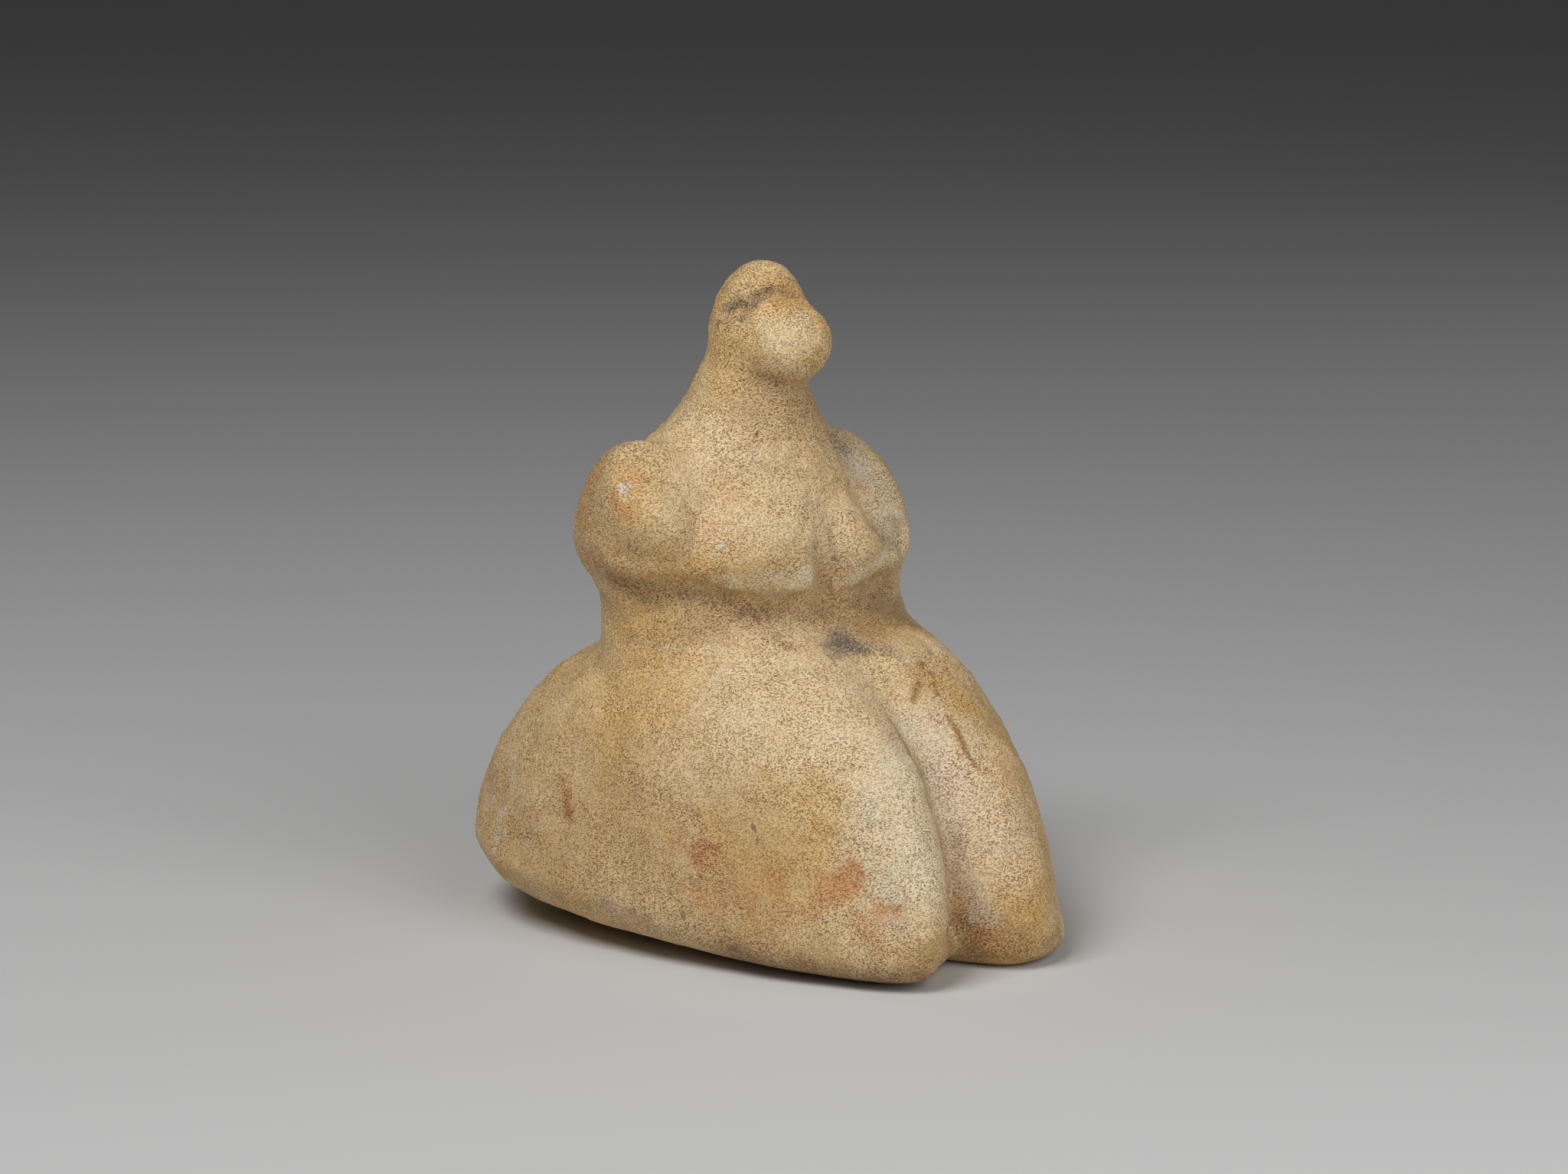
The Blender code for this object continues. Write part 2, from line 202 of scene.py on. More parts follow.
# Marks on the stone: two ends, width, softness, raggedness, tint and strength
MARKS = {
    "cream of the belly": ((-18, -21, 40), (-8, -28, 38), 14, 0.9, 0.5, "pale", 0.5),
    "pale chest": ((-12, -12, 67), (4, -13, 60), 10, 0.9, 0.5, "pale", 0.4),
    "pale left leg": ((4, -36, 34), (6, -46, 16), 6, 0.9, 0.6, "chalk", 0.6),
    "pale right knee": ((-9, -42, 30), (-10, -47, 16), 6, 0.9, 0.5, "pale", 0.85),
    # Pale stone on the left shoulder, strengthened as painted light on the lit arm
    "pale stone and painted light on the left shoulder": ((16, -3, 70), (16, -9, 58), 6, 0.9, 0.6, "pale", 0.8),
    "pale crown": ((-3, -1, 97.5), (2, -2, 98.5), 4, 0.9, 0.6, "pale", 0.3),
    # Brown earth and painted shade along the low front edge, where it turns under
    "earth and painted shade of the lower edge": ((-27, -27, 2.4), (-12, -50, 2.4), 4, 0.9, 0.6, "brown", 0.85),
    "cream of the right thigh": ((-12, -38, 32), (-13.5, -46, 17), 5, 0.9, 0.6, "chalk", 0.3),
    # Painted shade on the waist below the breasts
    "painted shade of the waist": ((-20, -8, 49), (14, -13, 48), 4, 0.9, 0.8, "brown", 0.35),
    # Painted shade low in the gap between the feet
    "painted shade between the feet": ((0, -46, 6), (6, -50, 5), 3, 0.9, 0.8, "brown", 0.6),
    "cream along the right thigh": ((-14, -30, 36), (-13, -44, 24), 7, 0.9, 0.6, "pale", 0.5),
    "tan of the right flank": ((-34, 4, 22), (-28, -24, 14), 12, 0.9, 0.6, "tan", 0.45),
    "tan of the right arm": ((-28, 4, 71), (-29, 6, 64), 6, 0.9, 0.6, "tan", 0.5),
    # Painted shade on the throat under the chin
    "painted shade under the chin": ((-5, -8, 79), (3, -9, 80), 4.5, 0.9, 0.8, "brown", 0.45),
    # Painted shade under the ledges of the breasts and of the right arm
    "painted shade under the breasts": ((-13, -10.4, 49.6), (12, -13, 47.8), 2.2, 0.9, 0.8, "brown", 0.45),
    "painted shade under the right arm": ((-26, 2, 53.6), (-14, -10, 50.6), 2.2, 0.9, 0.8, "brown", 0.55),
    # Painted highlights along the lit edges of the right arm and of both breasts
    "painted highlight on the edge of the right arm": ((-26, -4.4, 58.4), (-17, -11.3, 56.4), 1.4, 0.9, 0.8, "olive",
                                   0.5),
    "painted highlight on the edge of the right breast": ((-15, -12, 54.4), (-4.2, -15.6, 53.6), 2.6, 0.9, 1, "pale", 0.9),
    "painted highlight on the edge of the left breast": ((6.5, -14.2, 52.8), (14, -13, 54.4), 2.4, 0.9, 1, "pale",
                                     0.9),
    # Painted shade on the waist below the left breast
    "painted shade of the left waist": ((7, -16, 47), (18, -12, 47), 5, 0.9, 0.8, "brown", 0.6),
    "olive of the right breast": ((-13.4, -13.9, 54), (-11, -14.8, 53.4), 1.8, 0.6, 1, "olive",
                                  0.4),
    # Painted shade on the underside of the left breast
    "painted shade under the left breast": ((10, -12, 52), (19, -9, 51.5), 1.8, 0.6, 1, "olive", 0.6),
    "white streaks on the breast": ((-11.5, -14.5, 53.4), (-9.7, -15.6, 54.8), 0.9, 0.7, 1.4,
                                    "white", 0.7),
    "stain in the brow": ((-6.8, -1.7, 92.8), (-5.0, -4, 94.6), 1.3, 0.95, 1.4, "stain", 0.8),
    "stain beside the brow": ((-5, -4, 94.6), (-2.2, -5, 95.6), 0.9, 0.95, 1.2, "stain", 0.7),
    "line of the brow": ((-2.2, -5.2, 95.6), (3.5, -6.2, 94.6), 0.6, 0.9, 1, "mauve", 0.8),
    "orange of the brow": ((-3, -5, 97), (3, -6, 95.4), 1.8, 0.8, 1, "orange", 0.2),
    "nick behind the brow": ((-8, 0.5, 93.6), (-8, 1.2, 89.6), 0.6, 0.4, 0.8, "black", 0.7),
    # Painted highlights on the front of the face
    "white painted highlight on the face": ((-0.3, -10, 92), (-0.2, -10.2, 91.6), 0.7, 0.6, 1.2, "white", 0.7),
    "painted highlight on the face": ((-4.8, -9.4, 89.4), (0, -11, 90.5), 2.6, 0.8, 1, "pale", 0.55),
    "pale chin": ((-4.5, -9.2, 84.5), (-2, -10.2, 84), 1.6, 0.8, 1, "pale", 0.4),
    "mauve of the chin": ((0.2, -11.4, 85.6), (0.8, -11.5, 84.6), 0.6, 0.6, 1, "mauve", 0.4),
    "dot on the throat": ((-6.9, -7.7, 74.9), (-6.9, -7.7, 74.8), 0.3, 0.3, 0.4, "black", 0.8),
    "white on the throat": ((-7.9, -8.4, 72.6), (-7.6, -8.5, 72.2), 0.6, 0.7, 1.4, "white", 0.45),
    "soot of the left shoulder": ((11.5, -3.2, 73.4), (13, -3.9, 70.8), 1.3, 0.8, 1.2, "soot",
                                  0.4),
    "chip of the left shoulder": ((13.2, -5.2, 68.8), (15.5, -6.1, 66.8), 1.7, 0.5, 1.2,
                                  "calcite", 0.6),
    "orange of the left shoulder": ((13.5, -7.7, 64.6), (13.6, -7.8, 64), 1.5, 0.8, 1, "orange",
                                    0.4),
    "white of the chest": ((-17, -11.5, 60.6), (-17, -11.6, 59.8), 0.6, 0.6, 1.4, "white", 0.6),
    "pink of the chest": ((-16.8, -9.4, 62.3), (-13, -8.3, 66.3), 2.4, 0.9, 0.8, "orange", 0.25),
    "dot between the breasts": ((2.1, -15.2, 56.1), (2.5, -15.2, 55.6), 0.6, 0.5, 1, "soot", 0.8),
    "dot on the breastbone": ((-2.4, -16, 58.4), (-2, -16, 58.3), 0.4, 0.5, 1, "stain", 0.6),
    "red of the left armpit": ((10.1, -13.5, 59.9), (15.3, -11.9, 57.4), 0.8, 0.7, 1.6, "mauve",
                               0.5),
    "grey of the left armpit": ((12.8, -12.8, 58.1), (18.7, -10.7, 55.6), 1.1, 0.8, 1.4, "brown",
                                0.5),
    "chip of the right arm": ((-28.2, -3.4, 68.7), (-28.3, -3.6, 67.6), 0.75, 0.4, 1.4, "white",
                              0.9),
    "white by the chip": ((-26.1, -5.9, 69.6), (-26.1, -5.9, 69), 0.6, 0.7, 1.4, "white", 0.5),
    "orange over the chip": ((-27.4, -3.8, 70.4), (-26.6, -4.4, 70), 1.3, 0.8, 1, "orange", 0.5),
    "orange under the chip": ((-28.8, -3.2, 66.4), (-28.7, -3.8, 64.8), 1.4, 0.8, 1.1, "orange",
                              0.5),
    "orange arm edge": ((-28, 4.4, 71), (-28.9, 7.7, 63.6), 2.4, 0.9, 1, "orange", 0.4),
    "soot of the waist": ((-1.2, -18.6, 44.4), (1.4, -18.4, 44.3), 2.2, 0.9, 1.4, "soot", 0.9),
    "soot under the waist": ((-1, -19, 44.2), (-3.4, -21, 43.4), 1.3, 0.9, 1.6, "soot", 0.6),
    "dots of the waist": ((-8.6, -14.4, 46), (-8.8, -17.3, 44.7), 0.9, 0.8, 2, "stain", 0.4),
    "cloud of the waist": ((6, -20.8, 43.6), (7.1, -23.4, 42.2), 1.3, 0.8, 2, "soot", 0.35),
    # Painted highlight where the top of the belly catches the light
    "painted highlight over the belly": ((-22.1, -4.2, 44.4), (-12.2, -16.1, 44.4), 0.7, 0.7, 1, "pale", 0.5),
    "scrape of the right hip": ((-35.8, 18.1, 17.6), (-36.7, 18.1, 11.4), 0.7, 0.7, 1.2,
                                "white", 0.8),
    "second scrape": ((-36.2, 16, 18.4), (-37, 15.5, 14.2), 0.6, 0.7, 1.4, "white", 0.65),
    "third scrape": ((-33.1, 17.7, 26), (-35.4, 15.6, 21.4), 0.9, 0.8, 1.4, "white", 0.5),
    "mauve hip": ((-32.5, 24.7, 21.6), (-35.2, 19.3, 19.5), 1.8, 0.8, 1.2, "mauve", 0.3),
    "rust streak": ((-34.4, 3.3, 23.0), (-35.2, 1.9, 20.2), 0.95, 0.8, 1, "rust", 0.85),
    "rust over the streak": ((-34.2, 4.6, 24.6), (-34.5, 3.6, 23.2), 0.9, 0.8, 1.5, "rust", 0.35),
    "rust of the right thigh": ((-29.5, -20.6, 17.9), (-28.5, -22.8, 18.6), 1.1, 0.8, 1.6, "rust",
                                0.75),
    "dark point of rust": ((-29.6, -21.6, 15.9), (-29.5, -21.9, 15.2), 0.8, 0.7, 1.2, "rust",
                           1),
    "first rust cloud": ((-30.4, -17.5, 18.8), (-30, -18.5, 18.2), 1.2, 0.9, 1.6, "rust", 0.4),
    "black dash": ((-25.1, -28.5, 22.4), (-25.2, -28.9, 21.5), 0.35, 0.5, 1.2, "black", 0.7),
    "second black dash": ((-25.1, -29.5, 21), (-25.1, -29.7, 20.4), 0.3, 0.5, 1.2, "black", 0.6),
    "third black dash": ((-33, -9.6, 18.6), (-33, -9.8, 18.1), 0.35, 0.5, 1.2, "black", 0.5),
    "fourth black dash": ((-31, -20.1, 9.1), (-31, -20.1, 8.2), 0.45, 0.5, 1.4, "black", 0.5),
    "orange patch": ((-20, -41.7, 15.2), (-17, -47.3, 12.4), 2.3, 0.6, 2, "orange", 0.75),
    "orange behind the patch": ((-22.7, -38, 12.8), (-21, -40.5, 13.8), 1.8, 0.8, 2, "orange",
                                0.5),
    "orange of the low thigh": ((-25.4, -32, 13.8), (-24.2, -35.6, 10.6), 2.5, 0.9, 2.4, "orange",
                                0.45),
    "orange of the rim": ((-29.2, -23.6, 12.6), (-27.5, -28.4, 10.6), 2.3, 0.9, 2.4, "orange", 0.4),
    "brown of the rim": ((-34.5, -6.8, 7), (-32.6, -13.5, 5.5), 1.4, 0.7, 1.6, "mauve", 0.35),
    "white of the rim": ((-34.7, -7.4, 8), (-34.5, -8.2, 7.6), 0.9, 0.7, 1.6, "white", 0.45),
    "white by the orange patch": ((-16, -47.4, 15.4), (-15.9, -48, 14.2), 1.1, 0.7, 1.8,
                                  "white", 0.6),
    "white on the shin": ((-14.5, -42.8, 27), (-15.4, -43.5, 25), 1.0, 0.8, 1.8, "white", 0.5),
    "white on the foot": ((-16, -48.8, 10.7), (-14.6, -50.3, 9.7), 1.0, 0.8, 1.8, "white", 0.5),
    "nick by the patch": ((-15.8, -48.8, 12), (-15.1, -49.1, 12.8), 0.4, 0.5, 1, "black", 0.7),
    "warm cloud of the thigh": ((-23, -29, 27.5), (-20, -35.7, 26), 3.5, 0.9, 1.6, "olive", 0.4),
    "golden vein": ((10.6, -25.1, 41.1), (4.1, -30.4, 37.1), 0.55, 0.9, 0.4, "golden", 0.9),
    "second golden vein": ((10.5, -27.1, 39.9), (8.7, -30.6, 37.6), 0.55, 0.8, 0.3, "golden", 0.95),
    "golden cloud": ((8.7, -26.4, 40.4), (9, -27.5, 39.5), 1.8, 0.7, 1.4, "golden", 0.45),
    "long golden vein": ((7.6, -34.4, 35), (6.3, -39.6, 30.9), 0.55, 0.8, 0.3, "golden", 1),
    "end of the long vein": ((6.3, -39.6, 30.9), (6.4, -42.2, 28.5), 0.45, 0.7, 0.3, "golden", 0.9),
    "pale chip at the left hip": ((16.9, -21.5, 41.6), (19.5, -21.9, 40), 0.9, 0.6, 1.2, "white",
                                  0.5),
    "dark edge of the chip": ((12.4, -24.3, 41.3), (15.4, -22, 41.8), 0.35, 0.6, 1, "brown", 0.8),
    "mauve line of the groove": ((-2.6, -33, 35.8), (-4.6, -44.5, 25), 0.7, 0.9, 0.8, "mauve",
                                 0.85),
    "calcite of the left leg": ((1.9, -34.1, 33.4), (1, -41.9, 25.2), 2.6, 0.9, 1.2, "calcite",
                                0.4),
    "calcite down the leg": ((1, -42, 25), (0, -45.3, 15), 2.2, 0.9, 1.4, "calcite", 0.4),
    "calcite by the foot": ((0.1, -46.6, 12.4), (1.2, -48.1, 8.4), 1.8, 0.8, 1.6, "calcite", 0.6),
    "orange of the left foot": ((1, -47.8, 5.8), (2.9, -49.8, 4.7), 1.6, 0.8, 1.6, "rust", 0.6),
    "brown of the left toe": ((10.5, -52.9, 3.2), (14.4, -51.4, 4.4), 1.3, 0.8, 1.2, "brown", 0.6),
    "nick of the left toe": ((13.5, -50.7, 10.6), (16.3, -48.9, 8.9), 0.5, 0.7, 0.8, "black", 0.65),
    "red of the left toe": ((14.6, -51.4, 2.8), (15.4, -50.8, 1.8), 1, 0.7, 0.8, "rust", 0.7),
    "olive of the right foot": ((-15, -50, 6.4), (-9, -51.4, 6.6), 2.6, 0.9, 1, "olive", 0.5),
    "cloud of the back": ((-6, 14, 62), (4, 15, 57), 4, 0.8, 1.4, "orange", 0.3),
    "stain of the back": ((12, 33, 26), (16, 31, 23), 1.6, 0.7, 1.8, "stain", 0.35),
    "pale seat": ((-14, 34, 22), (-4, 37, 18), 6, 0.9, 1, "pale", 0.35),
    "rust of the left hip": ((37, 8, 20), (36, 2, 16), 1.6, 0.8, 1.8, "rust", 0.4),
    "soot of the left hip": ((34, 16, 30), (33, 20, 27), 1.6, 0.8, 1.8, "soot", 0.35),
}

# Chance unevenness of the surface: wave length, seed and share of the full depth of each set
# of waves, and how many waves are in a set
HAND_WAVES = ((16, 1, 1), (7, 2, 0.5))
WEAR_WAVES = ((3, 3, 1), (1.8, 4, 0.7))
WAVE_COUNT = 40

# How many hand waves deep the whole surface is sunk, so that the crests stay within the solid
SINKING = 1.5

# How far from the surface its hollows and ridges are felt
PROBE = 4.0

# The uneven outline of the marks: wave lengths to choose from, their seed and their depth, and
# how many softnesses a point can lie within a mark or outside it
LOBE_LENGTHS = (2, 5, 12)
LOBE_SEED = 5
LOBE_DEPTH = 0.22
REACH_LIMIT = 4.0

# How often each noise of the marble repeats in a metre
CLOUD_RATE = 28
GLOSS_RATE = 60
CROWD_RATE = 120
SOIL_AND_SHADE_RATE = 130
MOTTLE_RATE = 260
CRYSTAL_RATE = 2400

# How often the noise that frays the marks repeats in a hundredth of the block, and how far it
# frays them
FRAY_RATE = 4
FRAY_DEPTH = 3.2

# How much of each colour the marble takes on where it is strongest
MOTTLE_SHARE = 0.4
SOIL_AND_SHADE_SHARE = 0.45
WORN_SHARE = 0.3
CRYSTAL_SHARE = 0.4

# How the grain is stretched along each axis: a smaller number makes longer dashes
GRAIN_STRETCH = (0.85, 0.85, 1.5)

# Light that sinks into the stone: its share, how far red, green and blue go, and the size in
# metres of a unit of that
SUNK_LIGHT = 0.12
SUNK_REACH = (1.0, 0.7, 0.4)
SUNK_UNIT = 0.0012

# The camera: degrees round from the front and up, how far it stands, its lens in millimetres,
# and the level and place across that it looks at
CAMERA_AZIMUTH = -40
CAMERA_ELEVATION = 11
CAMERA_DISTANCE = 657
CAMERA_LENS = 100
AIM_LEVEL = 50
AIM_SIDEWAYS = 3.7

# Softboxes: where each stands seen from the camera, in metres to the right of the figure,
# towards the camera and up, and its power
SOFTBOX_SIDE = 0.5
SOFTBOXES = {
    "key": ((-0.35, 0.45, 0.9), 6.1),
    "fill": ((0.35, 0.45, 0.35), 1.6),
    "back": ((1.0, -0.7, 0.35), 0.7),
}


def paint(red, green, blue):
    """Scene colour of a screen colour whose parts run from 0 to 255."""
    share = np.array([red, green, blue]) / 255
    linear = np.where(share <= 0.04045, share / 12.92, ((share + 0.055) / 1.055) ** 2.4)
    return tuple(float(value) for value in linear)


def colour(name, description, default):
    """A colour that the user can change."""
    return bpy.props.FloatVectorProperty(
        name=name, description=description, subtype="COLOR", size=3, min=0, max=1,
        default=paint(*default),
    )


class FigurineForm(bpy.types.PropertyGroup):
    """Sizes of the carved surface."""

    rows: bpy.props.IntProperty(
        name="Rows", description="Rings of points from the underside to the crown",
        default=325, min=40,
    )
    columns: bpy.props.IntProperty(
        name="Columns", description="Points in each ring", default=292, min=40,
    )
    under_rows: bpy.props.IntProperty(
        name="Underside rows", description="Rings of points across the underside",
        default=12, min=2,
    )
    edge_radius: bpy.props.FloatProperty(
        name="Edge radius", description="Rounding of the lower edge",
        default=0.007, unit="LENGTH",
    )
    hand_waves: bpy.props.FloatProperty(
        name="Hand waves", description="Depth of the broad unevenness left by hand rubbing",
        default=0.0002, unit="LENGTH",
    )
    wear_pits: bpy.props.FloatProperty(
        name="Wear pits", description="Depth of the fine unevenness left by wear",
        default=0.00006, unit="LENGTH",
    )


class MarbleLook(bpy.types.PropertyGroup):
    """Colours and texture of the stone."""

    cream: colour("Cream", "Palest ground of the marble", (244, 219, 172))
    honey: colour("Honey", "Warmer ground of the marble", (226, 180, 98))
    grain: colour("Grain", "Shade of the short brown dashes in the marble", (164, 120, 62))
    # Earth colour, also laid into the hollows and creases as painted shade
    dirt_and_shade: colour("Dirt", "Soil held in the hollows", (120, 88, 52))
    grain_size: bpy.props.FloatProperty(
        name="Grain size", description="Usual length of a dash of the grain",
        default=0.00048, unit="LENGTH",
    )
    grain_strength: bpy.props.FloatProperty(
        name="Grain strength", description="How much of the grain's colour shows",
        default=1.0, min=0, max=1, subtype="FACTOR",
    )
    relief: bpy.props.FloatProperty(
        name="Relief", description="Depth of the pits and crystals",
        default=0.00012, unit="LENGTH",
    )


class StudioLook(bpy.types.PropertyGroup):
    """Floor and lights."""

    floor: colour("Floor", "Plain pale floor", (213, 213, 213))
    floor_size: bpy.props.FloatProperty(
        name="Floor size", description="Side of the floor", default=14.0, unit="LENGTH",
    )
    room: bpy.props.FloatProperty(
        name="Room light", description="Strength of the even light of the room", default=0.045,
    )


def turn_matrix(turn):
    """Rotation about X, then Y, then Z, by the three angles in degrees."""
    cos_x, cos_y, cos_z = np.cos(np.radians(turn))
    sin_x, sin_y, sin_z = np.sin(np.radians(turn))
    about_x = np.array([[1, 0, 0], [0, cos_x, -sin_x], [0, sin_x, cos_x]])
    about_y = np.array([[cos_y, 0, sin_y], [0, 1, 0], [-sin_y, 0, cos_y]])
    about_z = np.array([[cos_z, -sin_z, 0], [sin_z, cos_z, 0], [0, 0, 1]])
    return about_z @ about_y @ about_x


def swell(points, centre, radii, turn=(0, 0, 0), power=2.0, under=None, taper=0.0):
    """Distance outside an egg-shaped mass, negative within it.

    The sum of each offset over its radius, to a power, is 1 on the surface. The half below the
    centre is `under` deep, and the width grows towards +Y by `taper`.
    """
    local = (points - np.array(centre)) @ turn_matrix(turn)
    radius = np.broadcast_to(np.array(radii, float), local.shape).copy()
    if under is not None:
        radius[..., 2] = np.where(local[..., 2] < 0, under, radius[..., 2])
    radius[..., 0] *= 1 + taper * np.clip(local[..., 1] / radii[1], -1, 1)
    share = np.maximum(np.abs(local) / radius, 1e-6)
    size = (share**power).sum(-1) ** (1 / power)
    slope = size ** (1 - power) * np.sqrt(((share ** (power - 1) / radius) ** 2).sum(-1))
    return (size - 1) / slope


def bar(points, start, end, start_radius, end_radius, depth=1.0):
    """Distance outside a tapered round bar, negative within it; `depth` flattens it along Y.

    It is the least gap to the balls whose centres and radii run from one end to the other.
    """
    along = np.array(end, float) - np.array(start, float)
    length = max(np.linalg.norm(along), 1e-6)
    offset = (points - np.array(start)) / np.array([1, depth, 1])
    run = offset @ along / length
    aside = np.sqrt(np.maximum((offset**2).sum(-1) - run**2, 0))
    taper = (start_radius - end_radius) / length
    share = np.clip((run - aside * taper / np.sqrt(1 - taper**2)) / length, 0, 1)
    gap = np.linalg.norm(offset - share[..., None] * along, axis=-1)
    return gap - start_radius - share * (end_radius - start_radius)


def mass(points, sizes):
    """Distance outside one mass: a bar where it has two ends, or else a swell."""
    sizes = {name: value for name, value in sizes.items() if name != "blend"}
    return (bar if "start" in sizes else swell)(points, **sizes)


def joined(first, second, blend):
    """Both masses together, with a hollow fillet where they meet."""
    overlap = np.maximum(blend - np.abs(first - second), 0)
    return np.minimum(first, second) - overlap**2 / (4 * blend)


def cut(body, tool, blend):
    """The body with the tool taken out, and the rim of the cut worn round."""
    overlap = np.maximum(blend - np.abs(body + tool), 0)
    return np.maximum(body, -tool) + overlap**2 / (4 * blend)


def figure(points):
    """Distance outside the carved figure before its lower edge is rounded."""
    distance = swell(points, **RIGHT_THIGH)
    for sizes in MASSES.values():
        distance = joined(distance, mass(points, sizes), sizes["blend"])
    for sizes in GROOVES.values():
        distance = cut(distance, mass(points, sizes), sizes["blend"])
    return distance


def working_lines(share, around, edge_radius):
    """Start and direction of the line that meets the surface at each share and angle.

    The start climbs the spine with the share. The line is level below the shoulders, slants
    up across them, and swings up to the vertical over the head.
    """
    edge_level = edge_radius * (1 - np.cos(np.clip(share / EDGE_SHARE, 0, 1) * np.pi / 2))
    level = np.interp(
        share,
        (EDGE_SHARE, *BODY_SHARES, HEAD_SHARE),
        (edge_radius, *BODY_LEVELS, HEAD_LEVEL),
    )
    level = np.where(share < EDGE_SHARE, edge_level, level)
    lean = np.interp(level, SHOULDER_LEVELS, (0, 1, 1, 0))
    slant = np.radians(SHOULDER_SLANT) * lean**2 * (3 - 2 * lean)
    crown = np.clip((share - HEAD_SHARE) / (1 - HEAD_SHARE), 0, 1)
    rise = np.where(crown > 0, crown * np.pi / 2, slant)
    around = around - FRONT_CROWDING * np.sin(around)
    start = np.stack(
        [
            np.interp(level, SPINE_LEVELS, SPINE_SIDEWAYS),
            -np.interp(level, SPINE_LEVELS, SPINE_FORWARD),
            level,
        ],
        axis=-1,
    )
    direction = np.stack(
        [np.cos(rise) * np.sin(around), -np.cos(rise) * np.cos(around), np.sin(rise)], axis=-1
    )
    return start, direction


def carved(start, direction, edge_radius):
    """The outermost point of the figure along each line, drawn in at the lower edge.

    The inset is that of a quarter round: the edge radius less its cosine at that level.
    """
    below = np.clip(1 - start[..., 2] / edge_radius, 0, 1)
    inset = edge_radius * (1 - np.sqrt(1 - below**2))

    def inside(distance):
        return figure(start + direction * distance[..., None]) + inset < 0

    step = REACH / COARSE_STEPS
    solid = np.zeros(start.shape[:-1])
    for distance in step * np.arange(1, COARSE_STEPS):
        solid = np.where(inside(np.full(solid.shape, distance)), distance, solid)
    clear = solid + step
    for _ in range(FINE_STEPS):
        middle = (solid + clear) / 2
        within = inside(middle)
        solid = np.where(within, middle, solid)
        clear = np.where(within, clear, middle)
    return start + direction * solid[..., None]


def waves(points, length, seed):
    """Smooth chance unevenness: a sum of plane waves of one length in random directions.

    It is divided by the root of half their count, which is the usual size of such a sum.
    """
    chance = np.random.default_rng(seed)
    ways = chance.normal(size=(WAVE_COUNT, 3))
    ways /= np.linalg.norm(ways, axis=1, keepdims=True)
    phase = chance.uniform(0, 2 * np.pi, WAVE_COUNT)
    crests = np.cos(points @ ways.T * (2 * np.pi / length) + phase)
    return crests.sum(-1) / np.sqrt(WAVE_COUNT / 2)


def uneven(points, sets):
    """Sum of several sets of waves, each times its share."""
    return sum(share * waves(points, length, seed) for length, seed, share in sets)


def outward(points):
    """Unit normals of a ring grid: the cross of its steps round and up."""
    round_step = np.roll(points, -1, axis=1) - np.roll(points, 1, axis=1)
    up_step = np.gradient(points, axis=0)
    normal = np.cross(round_step, up_step)
    return normal / np.maximum(np.linalg.norm(normal, axis=-1, keepdims=True), 1e-9)


def bell(points, start, end, width, deepest):
    """Depth of a dent that falls off as a bell with the distance from its line."""
    return deepest * np.exp(-((bar(points, start, end, 0, 0) / width) ** 2))


def dented(points):
    """Total depth of the small losses at each point."""
    return sum(bell(points, *dent) for dent in DENTS.values())


def folded(points):
    """Depth of the creases, or height of the edges, at each point: the largest at each."""
    depth = np.zeros(points.shape[:-1])
    for places, width, deepest in FOLDS.values():
        for start, end in zip(places, places[1:]):
            reach = bell(points, start, end, width, deepest)
            depth = np.where(np.abs(reach) > np.abs(depth), reach, depth)
    return depth


def marked(points):
    """For each tint, how far within its marks each point lies, its raggedness and its strength.

    Reach is 1 less the gap to the mark's line over its width, shifted by smooth chance
    unevenness, over its softness. Of several marks of one tint the farthest reaching counts.
    """
    lobes = {length: waves(points, length, LOBE_SEED) for length in LOBE_LENGTHS}
    values = {tint: np.full((*points.shape[:-1], 3), (-REACH_LIMIT, 0, 0)) for tint in TINTS}
    for start, end, width, softness, raggedness, tint, strength in MARKS.values():
        lobe = lobes[min(lobes, key=lambda length: abs(length - 2 * width))]
        gap = bar(points, start, end, 0, 0) / width + LOBE_DEPTH * raggedness * lobe
        reach = np.clip((1 - gap) / softness, -REACH_LIMIT, REACH_LIMIT)
        value = np.stack(np.broadcast_arrays(reach, raggedness / softness, strength), axis=-1)
        farther = reach > values[tint][..., 0]
        values[tint][farther] = value[farther]
    return values


def with_underside(form, points):
    """The rings carried on over the underside, from its middle to its rim."""
    inner = np.linspace(0, 1, form.under_rows, endpoint=False)[:, None, None]
    middle = np.array([SPINE_SIDEWAYS[0], -SPINE_FORWARD[0], 0])
    return np.concatenate([middle + inner * (points[0] - middle), points])


def figurine_points(form):
    """Grid of points over the figure, and the hollow, ridge and mark values at each of them.

    Rows climb from the middle of the underside to the crown, and columns go round. Hollow is
    how far the distance a step outside the surface falls short of the step, as a share of the
    step, or the depth of a crease where that is more. Ridge is the same share a step inside.
    """
    edge_radius = form.edge_radius / UNIT
    share = np.linspace(0, 1, form.rows)[:, None]
    around = np.linspace(0, 2 * np.pi, form.columns, endpoint=False)[None, :]
    share, around = np.broadcast_arrays(share, around)
    start, direction = working_lines(share, around, edge_radius)
    points = carved(start, direction, edge_radius)
    normal = outward(points)
    folds = folded(points)
    # Hollows and crease depths later darken the marble as earth and painted shade
    hollow = np.clip(1 - figure(points + normal * PROBE) / PROBE, 0, 1)
    hollow = np.maximum(hollow, folds)
    ridge = np.clip(1 + figure(points - normal * PROBE) / PROBE, 0, 1)
    relief = form.hand_waves / UNIT * (uneven(points, HAND_WAVES) - SINKING)
    relief += form.wear_pits / UNIT * uneven(points, WEAR_WAVES)
    relief -= dented(points) + folds
    steady = np.clip(points[..., 2:] / edge_radius, 0, 1)
    points = with_underside(form, points + normal * relief[..., None] * steady)
    under = np.zeros((form.under_rows, form.columns))
    values = {"hollow": np.concatenate([under, hollow]), "ridge": np.concatenate([under, ridge])}
    return points, values | marked(points)


